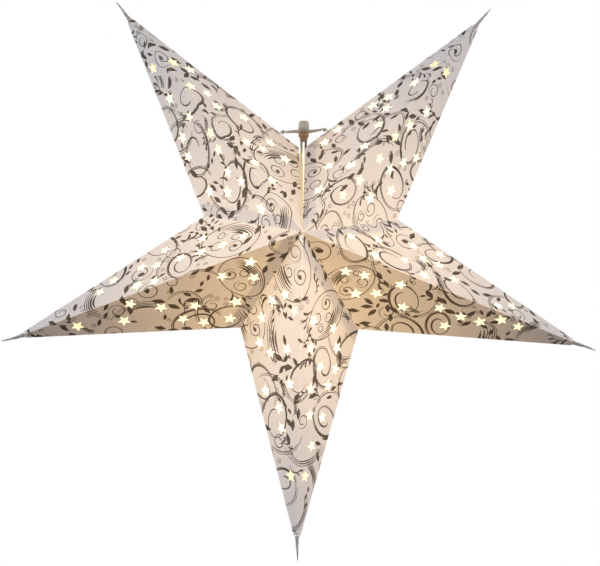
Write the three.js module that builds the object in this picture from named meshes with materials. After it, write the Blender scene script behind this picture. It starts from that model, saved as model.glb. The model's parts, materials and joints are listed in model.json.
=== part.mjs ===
// A folding five-armed paper star lantern. Five hollow card arms are hinged to each other along
// their creases; the star hangs from the lamp's cord grip, and the lamp hangs inside it.
//
// Frame: millimetres, +Z up, origin at the hanging point (the top of the cord grip). The star's
// front faces -Y.

import * as THREE from 'three';

// ---------------------------------------------------------------- driving dimensions
const tipRadius = 300;        // hub axis to the point where an arm's edges meet
const valleyRadius = 101;     // hub axis to the notch between two arms
const apexDepth = 95;         // star's mid plane to the front apex, and to the back apex
const armAngle = 71.3;        // part of the turn taken by one arm; the rest is the closing slit
const hangHeight = 128;       // hanging point above the hub axis
const hangOffset = 2;         // hanging point to the right of the hub axis

const card = 0.3;             // thickness of an arm's card
const cardGap = 0.3;          // card's edge to its crease
const backRidgeGap = 2.6;     // the same at the back ridges, whose halves part a little in folding
const cardBevel = 7;          // width over which the card thins towards each crease
const cardCorners = { apex: 5, tip: 13, valley: 4 };       // corners cut off the outer face
const innerCorners = { apex: 1, tip: 2, valley: 1 };       // corners cut off the inner face
const liner = 0.15;           // thickness of the translucent liner
const linerDepth = 0.6;       // card's outer face to the liner
const linerInset = { ridge: 18, outline: 4, seam: 4 };
const linerCorners = { apex: 6, tip: 4, valley: 3 };

const tailStart = 289;        // hub axis to the twisted tail's thick end
const tailEnd = 312;

const tieRadius = 1;          // tie cord
const waistRadius = 4.1;      // neck's waist, where the tie cord lies
const waistHeight = -10.4;    // middle of the waist
const knotRadius = 2.4;
const knotReach = { left: 22, right: 27 };      // notch to knot, along an upper arm's edge

const leadRadius = 1.2;       // insulated lamp lead
const leadSpread = 2.2;       // lamp lead's distance from the neck's axis
const neckEnd = -20.6;        // bottom of the neck
const holderTop = -66;
const fitGap = 0.3;           // clearance between pieces that touch

// ---------------------------------------------------------------- colours and finishes
const finishes = {
  printedPaper: { color: '#e2d3c2', roughness: 0.85 },
  linerPaper: { color: '#f6e9c9', roughness: 0.9 },
  twistedPaper: { color: '#dccdb9', roughness: 0.85 },
  tieCord: { color: '#9d968c', roughness: 0.9 },
  gripPlastic: { color: '#a79e8f', roughness: 0.5 },
  brownPlastic: { color: '#85654c', roughness: 0.45 },
  brownLead: { color: '#8b6b52', roughness: 0.5 },
  tanLead: { color: '#a59981', roughness: 0.5 },
  holderPlastic: { color: '#d9d4cb', roughness: 0.4 },
  brass: { color: '#c8a35a', roughness: 0.3, metalness: 1 },
  glass: { color: '#fff3d6', roughness: 0.15 },
  tungsten: { color: '#ffd27a', roughness: 0.5, metalness: 0.4 },
};

const lantern = new THREE.Group();
const star = new THREE.Group();
star.position.set(-hangOffset, 0, -hangHeight);
lantern.add(star);

function addPiece(parent, name, geometry, finish) {
  const mesh = new THREE.Mesh(geometry, new THREE.MeshStandardMaterial(finishes[finish]));
  mesh.name = name;
  parent.add(mesh);
  return mesh;
}

// ---------------------------------------------------------------- the star's corner points
function onMidPlane(turns, radius) {
  const angle = THREE.MathUtils.degToRad(-90 + turns * armAngle);
  return new THREE.Vector3(radius * Math.cos(angle), 0, radius * Math.sin(angle));
}

const apexes = {
  front: new THREE.Vector3(0, -apexDepth, 0),
  back: new THREE.Vector3(0, apexDepth, 0),
};

// ---------------------------------------------------------------- flat sheets with six sides
// A triangle's sides are moved inwards and its corners are cut square to their bisectors. The
// result is the six points of the outline, in order along ridge, outline and seam.
function sheetOutline({ apex, tip, valley }, insets, cuts) {
  const corners = [apex, tip, valley];
  const normal = new THREE.Vector3().subVectors(tip, apex)
    .cross(new THREE.Vector3().subVectors(valley, apex)).normalize();
  const sides = [insets.ridge, insets.outline, insets.seam].map((inset, i) => {
    const start = corners[i];
    const along = new THREE.Vector3().subVectors(corners[(i + 1) % 3], start).normalize();
    const inward = new THREE.Vector3().crossVectors(normal, along);
    return { point: start.clone().addScaledVector(inward, inset), along };
  });
  const cornerCuts = [cuts.apex, cuts.tip, cuts.valley];
  const points = [];
  corners.forEach((_, i) => {
    const before = sides[(i + 2) % 3];
    const after = sides[i];
    const corner = crossing(before, after, normal);
    const cosTurn = -before.along.dot(after.along);
    const reach = cornerCuts[i] / Math.sqrt((1 + cosTurn) / 2);
    points.push(corner.clone().addScaledVector(before.along, -reach));
    points.push(corner.clone().addScaledVector(after.along, reach));
  });
  return points;
}

// The point where two lines of one plane cross.
function crossing(first, second, normal) {
  const across = new THREE.Vector3().crossVectors(normal, second.along);
  const gap = new THREE.Vector3().subVectors(second.point, first.point).dot(across);
  return first.point.clone().addScaledVector(first.along, gap / first.along.dot(across));
}

// A closed solid between two outlines with the same number of points.
function solidBetween(outer, inner) {
  const count = outer.length;
  const centre = new THREE.Vector3();
  [...outer, ...inner].forEach((p) => centre.addScaledVector(p, 1 / (2 * count)));
  const indices = [];
  for (let i = 1; i < count - 1; i += 1) {
    indices.push(0, i, i + 1);
    indices.push(count, count + i + 1, count + i);
  }
  for (let i = 0; i < count; i += 1) {
    const next = (i + 1) % count;
    indices.push(i, count + i, next);
    indices.push(next, count + i, count + next);
  }
  const edgeA = new THREE.Vector3().subVectors(outer[1], outer[0]);
  const edgeB = new THREE.Vector3().subVectors(outer[2], outer[0]);
  const facing = edgeA.cross(edgeB).dot(new THREE.Vector3().subVectors(outer[0], centre));
  if (facing < 0) indices.reverse();
  const geometry = new THREE.BufferGeometry();
  geometry.setFromPoints([...outer, ...inner]);
  geometry.setIndex(indices);
  return geometry;
}

// The unit vector from a facet's outer face towards the hub axis.
function inwardNormal({ apex, tip, valley }) {
  const normal = new THREE.Vector3().subVectors(tip, apex)
    .cross(new THREE.Vector3().subVectors(valley, apex)).normalize();
  return normal.dot(apex) > 0 ? normal.negate() : normal;
}

// One facet of card: full thickness in the middle, thinning to an edge at each crease, so that
// the facets fold flat on each other.
function cardFacet(facet, ridgeGap) {
  const edge = { ridge: ridgeGap, outline: cardGap, seam: cardGap };
  const middle = { ridge: cardBevel, outline: cardBevel, seam: cardBevel };
  const inward = inwardNormal(facet);
  const outer = sheetOutline(facet, edge, cardCorners);
  const inner = sheetOutline(facet, middle, innerCorners);
  inner.forEach((p) => p.addScaledVector(inward, card));
  return solidBetween(outer, inner);
}

function linerFacet(facet) {
  const inward = inwardNormal(facet);
  const outer = sheetOutline(facet, linerInset, linerCorners);
  const inner = outer.map((p) => p.clone().addScaledVector(inward, linerDepth + liner));
  outer.forEach((p) => p.addScaledVector(inward, linerDepth));
  return solidBetween(outer, inner);
}

// ---------------------------------------------------------------- the five arms
// turns counts arms from the bottom one; each arm has a half before and a half after its ridges.
const arms = [
  { name: 'bottom_arm', turns: 0, before: 'left', after: 'right' },
  { name: 'right_arm', turns: 1, before: 'lower', after: 'upper' },
  { name: 'upper_right_arm', turns: 2, before: 'lower', after: 'inner' },
  { name: 'left_arm', turns: -1, before: 'upper', after: 'lower' },
  { name: 'upper_left_arm', turns: -2, before: 'inner', after: 'lower' },
];

for (const arm of arms) {
  const tip = onMidPlane(arm.turns, tipRadius);
  for (const side of ['front', 'back']) {
    const ridgeGap = side === 'front' ? cardGap : backRidgeGap;
    for (const half of ['before', 'after']) {
      const valley = onMidPlane(arm.turns + (half === 'after' ? 0.5 : -0.5), valleyRadius);
      const facet = { apex: apexes[side], tip, valley };
      const place = `${arm.name}_${side}_${arm[half]}`;
      addPiece(star, place, cardFacet(facet, ridgeGap), 'printedPaper');
      addPiece(star, `${place}_liner`, linerFacet(facet), 'linerPaper');
    }
  }
}

// ---------------------------------------------------------------- turned pieces
// A profile of [radius, height] points, listed downwards along its outside, turned round Z.
function turned(profile, segments) {
  const points = profile.map(([radius, height]) => new THREE.Vector2(radius, height)).reverse();
  return new THREE.LatheGeometry(points, segments).rotateX(Math.PI / 2);
}

function tube(points, radius, steps, sides) {
  const path = new THREE.CatmullRomCurve3(points);
  const section = new THREE.Shape().absarc(0, 0, radius, 0, 2 * Math.PI);
  const settings = { steps, curveSegments: sides, bevelEnabled: false, extrudePath: path };
  return new THREE.ExtrudeGeometry(section, settings);
}

// ---------------------------------------------------------------- twisted tails
const tailLength = tailEnd - tailStart;
const tailProfile = [[0, tailLength], [0.5, tailLength], [0.8, 15], [1.5, 7], [2, 0], [0, 0]];

for (const arm of arms) {
  const tail = addPiece(star, `${arm.name}_tail`, turned(tailProfile, 8), 'twistedPaper');
  tail.position.copy(onMidPlane(arm.turns, tailStart));
  tail.rotation.y = THREE.MathUtils.degToRad(180 - arm.turns * armAngle);
}

// ---------------------------------------------------------------- neck
// Below the flex: a grip cap, a waist for the tie cord, a body and a threaded end.
const gripProfile = [[2.6, 0], [4.3, 0], [4.8, -0.8], [5.5, -8.2], [5.1, -9], [2.6, -9], [2.6, 0]];
const neckProfile = [[0, -9 - fitGap], [waistRadius, -9 - fitGap], [waistRadius, -11.8],
  [5.2, -12.1], [5.2, -16], [3.8, -16.4], [3.8, neckEnd], [0, neckEnd]];
addPiece(lantern, 'cord_grip', turned(gripProfile, 24), 'gripPlastic');
addPiece(lantern, 'neck_body', turned(neckProfile, 24), 'brownPlastic');

// ---------------------------------------------------------------- tie cord and its knots
// A loop of cord joins the two upper arms, with one strand in front of the neck and one behind.
const closing = { left: { turns: -2.5, arm: -2 }, right: { turns: 2.5, arm: 2 } };
const knots = {};
for (const [side, { turns, arm }] of Object.entries(closing)) {
  const notch = onMidPlane(turns, valleyRadius);
  const along = onMidPlane(arm, tipRadius).sub(notch).normalize();
  const outward = new THREE.Vector3(-along.z, 0, along.x);
  if (outward.z < 0) outward.negate();
  const place = notch.addScaledVector(along, knotReach[side]);
  place.addScaledVector(outward, knotRadius + 2 * fitGap);
  knots[side] = place.add(star.position);
  const knot = addPiece(lantern, `tie_knot_${side}`,
    new THREE.SphereGeometry(knotRadius, 10, 8), 'tieCord');
  knot.position.copy(knots[side]);
}

function tieStrand(front) {
  const depth = waistRadius + fitGap + tieRadius;
  const points = [];
  for (const side of ['left', 'right']) {
    const knot = knots[side];
    const towards = Math.sign(knot.x);
    const end = knot.x - towards * (knotRadius + fitGap + 0.2);
    const run = [
      new THREE.Vector3(end, front * (tieRadius + 0.4), knot.z),
      new THREE.Vector3(towards * 10, front * 3, waistHeight + (knot.z - waistHeight) * 0.3),
      new THREE.Vector3(towards * 4.4, front * depth * 0.92, waistHeight),
    ];
    points.push(...(side === 'left' ? run : run.reverse()));
    if (side === 'left') points.push(new THREE.Vector3(0, front * (depth + 0.4), waistHeight));
  }
  return tube(points, tieRadius, 30, 8);
}
addPiece(lantern, 'tie_cord_front', tieStrand(-1), 'tieCord');
addPiece(lantern, 'tie_cord_back', tieStrand(1), 'tieCord');

// ---------------------------------------------------------------- lamp leads
function lampLead(side) {
  const points = [
    new THREE.Vector3(side * leadSpread, 0, neckEnd - fitGap),
    new THREE.Vector3(side * leadSpread, 0, neckEnd - 10),
    new THREE.Vector3(side * (leadSpread + 1.4), 0, neckEnd - 24),
    new THREE.Vector3(side * (leadSpread + 1.8), 0, holderTop + 8),
    new THREE.Vector3(side * (leadSpread + 1.8), 0, holderTop + fitGap),
  ];
  return tube(points, leadRadius, 20, 8);
}
addPiece(lantern, 'lamp_lead_left', lampLead(-1), 'tanLead');
addPiece(lantern, 'lamp_lead_right', lampLead(1), 'brownLead');

// ---------------------------------------------------------------- lamp holder
const capProfile = [[0, 0], [7, 0], [10, -2], [12.6, -8], [13, -15], [11.4, -15], [11, -8.6],
  [8.6, -3.6], [6, -1.8], [0, -1.8]];
const skirtProfile = [[12.4, -15.3], [14, -15.3], [13.4, -42], [11.8, -42], [12.4, -15.3]];
const insertProfile = [[0, -15.3], [11.9, -15.3], [11.9, -20.6], [0, -20.6]];
const sleeveProfile = [[7.3, -20.9], [8, -20.9], [8, -40], [7.3, -40], [7.3, -20.9]];
const holder = new THREE.Group();
holder.position.z = holderTop;
lantern.add(holder);
addPiece(holder, 'holder_cap', turned(capProfile, 24), 'holderPlastic');
addPiece(holder, 'holder_skirt', turned(skirtProfile, 24), 'holderPlastic');
addPiece(holder, 'holder_insert', turned(insertProfile, 24), 'holderPlastic');
addPiece(holder, 'holder_screw_sleeve', turned(sleeveProfile, 24), 'brass');

// ---------------------------------------------------------------- bulb
// The glass is one thin wall, open at its neck where the screw cap closes it.
const globeRadius = 17.5;
const globeCentre = -65.5;
const glassWall = 0.8;
const neckRadius = 6.4;
const screwCapProfile = [[0, -22.2], [2.6, -22.2], [3.4, -23.6], [6.9, -24.6], [6.9, -44], [0, -44]];
const stemProfile = [[0, -44.3], [3.4, -44.3], [2, -54], [1.2, -66], [0, -66]];

function globeProfile(radius) {
  const start = Math.acos(neckRadius / globeRadius);
  const points = [];
  for (let i = 0; i <= 10; i += 1) {
    const angle = start - (i / 10) * (start + Math.PI / 2);
    points.push([radius * Math.cos(angle), globeCentre + radius * Math.sin(angle)]);
  }
  points[10][0] = 0;
  return points;
}
const outside = [[neckRadius, -44.3], ...globeProfile(globeRadius)];
const inside = [...globeProfile(globeRadius - glassWall).reverse(), [neckRadius - glassWall, -44.3]];
addPiece(holder, 'bulb_screw_cap', turned(screwCapProfile, 24), 'brass');
addPiece(holder, 'bulb_glass', turned([...outside, ...inside, outside[0]], 24), 'glass');
addPiece(holder, 'bulb_stem', turned(stemProfile, 12), 'tungsten');

export default lantern;
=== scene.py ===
# %% [markdown]
# # A folding paper star lantern
# The lantern is five hollow arms of thin card, creased so that the whole star folds flat. The
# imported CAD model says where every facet, hinge and lamp part is. This script gives each of them
# its real surface: card with die-cut stars and a printed scroll pattern, glowing liner paper,
# twisted tails, two-ply cord and a small lamp. It begins by loading that model.

# %% Load the frame
import json
import math

import bmesh
import bpy
import numpy as np
from mathutils import Matrix, Vector, geometry


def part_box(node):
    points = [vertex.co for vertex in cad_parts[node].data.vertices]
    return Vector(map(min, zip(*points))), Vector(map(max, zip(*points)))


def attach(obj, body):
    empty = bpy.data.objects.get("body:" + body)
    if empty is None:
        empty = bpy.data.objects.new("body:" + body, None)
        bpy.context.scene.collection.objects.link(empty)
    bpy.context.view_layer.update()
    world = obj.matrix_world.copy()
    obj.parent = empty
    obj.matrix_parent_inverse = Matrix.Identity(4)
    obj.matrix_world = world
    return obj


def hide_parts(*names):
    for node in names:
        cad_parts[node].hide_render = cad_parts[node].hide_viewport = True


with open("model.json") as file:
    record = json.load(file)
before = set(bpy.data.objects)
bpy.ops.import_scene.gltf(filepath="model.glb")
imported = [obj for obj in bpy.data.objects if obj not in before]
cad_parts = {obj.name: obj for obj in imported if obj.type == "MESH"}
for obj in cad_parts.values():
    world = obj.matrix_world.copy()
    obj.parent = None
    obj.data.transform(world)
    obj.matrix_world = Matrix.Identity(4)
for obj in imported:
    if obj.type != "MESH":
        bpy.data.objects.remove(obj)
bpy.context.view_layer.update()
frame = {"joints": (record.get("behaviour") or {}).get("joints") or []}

MM = 0.001

# %% [markdown]
# ## The star's corners, read from its hinges
# Every facet is a triangle with three corners: the apex at the hub, the tip of its arm, and the
# notch between two arms. The hinges already know them. The fold's main hinge starts at the front
# apex, and each outline hinge starts at a tip and runs along the edge to a notch. A seam hinge
# runs from the apex through a notch, which lies on the star's upright middle plane, y = 0.

# %% Corner points
hinges = {j["name"]: (np.array(j["pos_m"]), np.array(j["axis"])) for j in frame["joints"]}
front_apex = hinges["star_fold"][0]
back_apex = front_apex * (1, -1, 1)
hub = front_apex * (1, 0, 1)
seam_start, seam_way = hinges["right_arm_seam"]
first_notch = seam_start - seam_way * seam_start[1] / seam_way[1]
edge_length = np.linalg.norm(first_notch - hinges["right_arm_edge_lower"][0])

ARMS = {  # arm: (its half before the ridge, its half after), counted anticlockwise from the front
    "bottom_arm": ("left", "right"),
    "right_arm": ("lower", "upper"),
    "upper_right_arm": ("lower", "inner"),
    "upper_left_arm": ("inner", "lower"),
    "left_arm": ("upper", "lower"),
}
SHARE_PEAK = 0.2 * 0.2 * 0.6 ** 3  # the largest value of tip * apex * notch ** 3
SAG = 0.97 * MM
RUMPLE = 0.303 * MM


def unit(vector):
    """A vector divided by its length."""
    return vector / np.linalg.norm(vector)


class Facet:
    """One flat triangle of card, with its own flat coordinates in metres: u runs from the tip
    along the ridge towards the apex, v across the facet towards the notch, h out of the star."""

    def __init__(self, arm, side, half, turn):
        self.arm, self.side, self.turn = arm, side, turn
        self.name = f"{arm}_{side}_{half}"
        self.apex = front_apex if side == "front" else back_apex
        self.tip, along = hinges[f"{arm}_edge_{half}"]
        along = along if along @ (hub - self.tip) > 0 else -along
        self.notch = self.tip + along * edge_length
        self.ridge = unit(self.apex - self.tip)
        self.across = unit(along - self.ridge * (along @ self.ridge))
        normal = np.cross(self.ridge, self.across)
        self.flip = normal @ (self.apex - hub) < 0
        self.normal = -normal if self.flip else normal
        self.length = np.linalg.norm(self.apex - self.tip)
        self.notch_flat = np.array([edge_length * (along @ self.ridge),
                                    edge_length * (along @ self.across)])

    def shares(self, flat):
        """How near each flat point is to tip, apex and notch: three shares that add up to 1."""
        u, v = flat[:, 0], flat[:, 1]
        notch = v / self.notch_flat[1]
        apex = (u - notch * self.notch_flat[0]) / self.length
        return np.stack([1 - apex - notch, apex, notch])

    def billow(self, flat):
        """The card's sag in metres, inwards: the product of the three shares, times the notch
        share squared, scaled to 1 at its deepest, with faint waves. So it is zero at all creases
        and stays small near the ridge, where the star folds tight."""
        tip, apex, notch = np.clip(self.shares(flat), 0, None)
        depth = tip * apex * notch ** 3 / SHARE_PEAK
        u, v = flat[:, 0], flat[:, 1]
        phase = 1.7 * len(self.name) + 2.0 * self.turn
        waves = np.sin(u / 0.019 + phase) * np.cos(v / 0.013 - phase) + np.sin((u - v) / 0.031)
        return -depth * (SAG + RUMPLE * waves)

    def lift(self, flat, height=0.0):
        """Flat points, and a height out of the star, to points in space."""
        height = self.billow(flat) + height
        return (self.tip + flat[:, :1] * self.ridge + flat[:, 1:] * self.across
                + height[:, None] * self.normal)


facets = []
for arm, (before, after) in ARMS.items():
    for side in ("front", "back"):
        facets.append(Facet(arm, side, before, -1))
        facets.append(Facet(arm, side, after, 1))
facet_named = {facet.name: facet for facet in facets}
tip_angle = math.atan2(facets[0].notch_flat[1], facets[0].notch_flat[0])
print(f"{len(facets)} facets, {facets[0].length:.3f} m along the ridge, "
      f"{math.degrees(tip_angle):.1f} degrees at the tip")

# %% [markdown]
# ## Camera, floor and light
# The lantern hangs, and it is looked at from a little below and very slightly from the left. A
# long lens keeps the arms in proportion. Cool daylight comes from a large window on either side,
# a little above the star, so facets that face down stay darker and show their own lamp's warm
# light. The world and the floor are pale where they are seen, and dimmer where they light the
# card.

# %% Camera
scene = bpy.context.scene
scene.view_settings.view_transform = "Standard"
CAMERA_DISTANCE = 2.5
CAMERA_BELOW = math.radians(8.0)
CAMERA_LEFT = math.radians(1.2)
CAMERA_ROLL = math.radians(0.67)
AIM_BELOW_HUB = 36.5 * MM
SENSOR, LENS = 36, 150.3
camera_data = bpy.data.cameras.new("camera")
camera_data.sensor_width, camera_data.lens = SENSOR, LENS
camera = bpy.data.objects.new("camera", camera_data)
scene.collection.objects.link(camera)
scene.camera = camera
aim = Vector(hub) - Vector((0, 0, AIM_BELOW_HUB))
away = Vector((-math.sin(CAMERA_LEFT) * math.cos(CAMERA_BELOW),
               -math.cos(CAMERA_LEFT) * math.cos(CAMERA_BELOW), -math.sin(CAMERA_BELOW)))
camera.location = aim + away * CAMERA_DISTANCE
facing = (-away).to_track_quat("-Z", "Y").to_matrix()
camera.rotation_euler = (facing @ Matrix.Rotation(CAMERA_ROLL, 3, "Z")).to_euler()
print("camera at", [round(c, 3) for c in camera.location])


# %% Lights, world and floor
WINDOW_SIZE = 1.5
WINDOW_SPREAD = math.radians(50)


def window(name, offset, watts, colour):
    """A square soft light, offset from the hub in metres and turned to face it."""
    data = bpy.data.lights.new(name, "AREA")
    data.size, data.energy, data.color = WINDOW_SIZE, watts, colour
    data.spread = WINDOW_SPREAD
    light = bpy.data.objects.new(name, data)
    scene.collection.objects.link(light)
    light.location = hub + offset
    light.visible_camera = False
    light.rotation_euler = (-Vector(offset)).to_track_quat("-Z", "Y").to_euler()


window("left_window", (-2.2, -0.65, 0.75), 5.1, (0.82, 0.92, 1.0))
window("right_window", (2.2, -0.65, 0.75), 5.1, (0.93, 0.96, 0.96))
window("back_window", (0.6, 2.2, 0.9), 5.0, (0.84, 0.94, 1.0))

SKY_COLOUR, SKY_STRENGTH = (0.86, 0.91, 0.96, 1), 0.26
world = bpy.data.worlds.new("studio")
scene.world = world
world.use_nodes = True
seen = world.node_tree.nodes["Background"]
seen.inputs["Color"].default_value = (1, 1, 1, 1)
lighting = world.node_tree.nodes.new("ShaderNodeBackground")
lighting.inputs["Color"].default_value = SKY_COLOUR
lighting.inputs["Strength"].default_value = SKY_STRENGTH
ray = world.node_tree.nodes.new("ShaderNodeLightPath")
choose = world.node_tree.nodes.new("ShaderNodeMixShader")
link = world.node_tree.links.new
link(ray.outputs["Is Camera Ray"], choose.inputs[0])
link(lighting.outputs[0], choose.inputs[1])
link(seen.outputs[0], choose.inputs[2])
link(choose.outputs[0], world.node_tree.nodes["World Output"].inputs["Surface"])

FLOOR_HEIGHT, FLOOR_REACH = -2.4, 16
FLOOR_SHADE, FLOOR_GLOW = 0.8, 0.62
floor_mesh = bpy.data.meshes.new("floor")
floor_mesh.from_pydata([(x * FLOOR_REACH, y * FLOOR_REACH, FLOOR_HEIGHT)
                        for x, y in ((-1, -1), (1, -1), (1, 1), (-1, 1))], [], [(0, 1, 2, 3)])
floor = bpy.data.objects.new("floor", floor_mesh)
scene.collection.objects.link(floor)
floor_paint = bpy.data.materials.new("floor_paint")
floor_paint.use_nodes = True
paint = floor_paint.node_tree.nodes["Principled BSDF"]
paint.inputs["Base Color"].default_value = (FLOOR_SHADE, FLOOR_SHADE, FLOOR_SHADE, 1)
paint.inputs["Emission Strength"].default_value = FLOOR_GLOW
eye = floor_paint.node_tree.nodes.new("ShaderNodeLightPath")
floor_paint.node_tree.links.new(eye.outputs["Is Camera Ray"], paint.inputs["Emission Color"])
floor_mesh.materials.append(floor_paint)
print("three lights, a white world and a pale floor")

# %% [markdown]
# ## Shader maths as Python
# A material here is a handful of formulas. A small class wraps a node's output, so that adding
# or multiplying two of them adds the Math node, and one method makes any other node.


# %% Material helper
class Flow:
    """One output of a node. Arithmetic on it adds Math nodes."""

    def __init__(self, nodes, socket):
        self.nodes, self.socket = nodes, socket

    def math(self, operation, *values):
        """A Math node of the given operation."""
        return self.nodes.add("ShaderNodeMath", {"operation": operation}, dict(enumerate(values)))

    def __add__(self, other):
        return self.math("ADD", self, other)

    def __rsub__(self, other):
        return self.math("SUBTRACT", other, self)

    def __mul__(self, other):
        return self.math("MULTIPLY", self, other)

    __radd__, __rmul__ = __add__, __mul__

    def above(self, low, high):
        """0 below low, 1 above high, and a straight slope between."""
        return self.nodes.add("ShaderNodeMapRange", {}, {0: self, 1: low, 2: high})


class Material:
    """A Principled material. Constants are set on its sockets, and add() makes other nodes."""

    def __init__(self, name, **constants):
        self.material = bpy.data.materials.new(name)
        self.material.use_nodes = True
        self.tree = self.material.node_tree
        self.shader = self.tree.nodes["Principled BSDF"]
        self.feed(**constants)

    def add(self, kind, settings, inputs, output=0):
        """A node of any kind, its settings first, then the values or flows of its sockets."""
        node = self.tree.nodes.new(kind)
        for key, value in settings.items():
            setattr(node, key, value)
        for key, value in inputs.items():
            self.join(value, node.inputs[key])
        return Flow(self, node.outputs[output])

    def join(self, value, socket):
        """Links a flow to a socket, or sets the socket to a constant."""
        if isinstance(value, Flow):
            self.tree.links.new(value.socket, socket)
        else:
            socket.default_value = value

    def feed(self, **values):
        """Sets the shader's sockets: base_color for Base Color, and so on."""
        for key, value in values.items():
            name = key.replace("_", " ").title().replace("Ior", "IOR")
            if isinstance(value, tuple) and len(value) == 3:
                value = (*value, 1)
            self.join(value, self.shader.inputs[name])

    def place(self):
        """Object coordinates, in metres."""
        return self.add("ShaderNodeTexCoord", {}, {}, "Object")

    def noise(self, per_metre, detail=2.0, rough=0.5):
        """Cloudy noise from 0 to 1, with so many cells to the metre."""
        return self.add("ShaderNodeTexNoise", {}, {"Vector": self.place(), "Scale": per_metre,
                        "Detail": detail, "Roughness": rough})

    def attribute(self, name):
        """A number stored on the piece's points."""
        return self.add("ShaderNodeAttribute", {"attribute_name": name}, {}, "Fac")

    def mix(self, factor, first, second, blend="MIX"):
        """Two colours mixed by a factor."""
        pick = [value if isinstance(value, Flow) else (*value, 1) for value in (first, second)]
        return self.add("ShaderNodeMix", {"data_type": "RGBA", "blend_type": blend},
                        {0: factor, 6: pick[0], 7: pick[1]}, 2)

    def bump(self, height, millimetres, strength=1.0):
        """Surface relief from a height of 0 to 1, so many millimetres deep."""
        return self.add("ShaderNodeBump", {}, {"Height": height, "Strength": strength,
                        "Distance": millimetres * MM})


print("material helper ready")

# %% [markdown]
# ## From arrays to a piece
# Every piece below is computed as arrays of points and faces. One function turns them into a mesh,
# gives it its materials, hangs it on the body it rides on and hides the CAD node it stands for.


# %% Piece helper
def add_piece(name, points, faces, materials, body, slot, stands_for=(), material_of_face=None,
              values=None, smooth_below=40):
    """A mesh object from points in metres and faces; values are named numbers, one per point."""
    mesh = bpy.data.meshes.new(name)
    mesh.from_pydata(np.asarray(points, float), [], faces)
    for material in materials:
        mesh.materials.append(material.material)
    if material_of_face is not None:
        mesh.polygons.foreach_set("material_index", np.asarray(material_of_face, np.int32))
    for key, numbers in (values or {}).items():
        layer = mesh.attributes.new(key, "FLOAT", "POINT")
        layer.data.foreach_set("value", np.asarray(numbers, np.float32))
    mesh.polygons.foreach_set("use_smooth", np.ones(len(mesh.polygons), bool))
    mesh.set_sharp_from_angle(angle=math.radians(smooth_below))
    mesh.validate()
    piece = bpy.data.objects.new(name, mesh)
    scene.collection.objects.link(piece)
    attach(piece, body)
    if stands_for:
        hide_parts(*stands_for)
    return piece


def walls_between(triangles, count):
    """The walls that join a sheet to its own copy count points later, along its open edges."""
    edges = np.concatenate([triangles[:, [0, 1]], triangles[:, [1, 2]], triangles[:, [2, 0]]])
    keys = np.sort(edges, axis=1)
    _, first, uses = np.unique(keys, axis=0, return_index=True, return_counts=True)
    start, end = edges[first[uses == 1]].T
    return np.concatenate([np.stack([end, start, start + count], 1),
                           np.stack([end, start + count, end + count], 1)])


print("piece helper ready")

# %% [markdown]
# ## The printed scrolls
# The card carries a drawn pattern of winding loops, eyed spirals, combed arcs, fans of comma
# strokes, leaves and little wheat ears. Every mark is one brush stroke: a centre line, and how
# far the ink reaches to its left and right. The centre line is a complex number for each point,
# so that turning a motif is one multiplication. All sizes in this section are millimetres.


# %% Brush strokes
def stroke(line, reach, other_side=None):
    """A centre line with the ink's reach to its left and right."""
    return line, reach, -reach if other_side is None else other_side


def steps(count):
    """Evenly spaced numbers from 0 to 1, both included."""
    return np.linspace(0, 1, count)


def thin_ends(s, sharpness=0.6):
    """1 along most of a stroke, falling to 0 at both its ends: a power of sin(pi s)."""
    return np.sin(np.pi * np.clip(s, 0.004, 0.996)) ** sharpness


def leaf(place, direction, length, width):
    """A pointed leaf with a slight S-bend. Its half width follows sin(pi s) ^ 1.2."""
    s = steps(13)
    line = place + direction * length * (s + 0.03j * np.sin(2 * np.pi * s))
    return [stroke(line, width / 2 * thin_ends(s, 1.2))]


def comma(place, direction, length, width, bend):
    """A comma: it bends through an arc, fat near its head and drawn out to a thin tail."""
    s = steps(16)
    line = place + direction * length * s * np.exp(1j * bend * s)
    return [stroke(line, width / 2 * (1 - s) ** 0.55 * np.clip(s * 9, 0.15, 1) ** 0.5)]


def dot(place, radius):
    """A round dot: a stroke as long as it is wide."""
    s = steps(9)
    return [stroke(place + radius * (2 * s - 1), radius * thin_ends(s, 0.9))]


def loop(rng, size):
    """A winding oval: its radius is size times 1 - shrink * s^1.6 over about one and a half
    turns, and the pen presses hardest once a turn. A twin line follows outside part of it. Some
    have a long stem that sweeps off in an arc, and some a row of dots."""
    s = steps(84)
    shrink = rng.uniform(0.5, 0.75)
    angle = 2 * np.pi * rng.uniform(1.15, 1.6) * s
    radius = size * (1 - shrink * s ** 1.6)
    line = radius * (np.cos(angle) + 0.70j * np.sin(angle))
    pressure = 0.46 + 0.74 * np.sin(angle / 2 + rng.uniform(0, 3)) ** 2
    marks = [stroke(line, pressure * thin_ends(s, 0.3))]
    twin = s < rng.uniform(0.4, 0.65)
    marks.append(stroke(line[twin] * (1 + 2.1 / size), 0.42 * thin_ends(steps(twin.sum()), 0.35)))
    if rng.random() < 0.65:
        t = steps(40)
        stem = line[0] - 1j * size * 1.7 * t * np.exp(1j * (0.9 * t - 0.35) * rng.choice([-1, 1]))
        marks.append(stroke(stem, (0.75 - 0.4 * t) * thin_ends(t, 0.3)))
        marks.append(stroke(stem + 2.0 + 1.2 * t, 0.34 * thin_ends(t, 0.3)))
    if rng.random() < 0.5:
        for at in range(4, 26, 4):
            marks += dot(line[at] * (1 - 2.2 / size), 0.62)
    return marks


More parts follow.
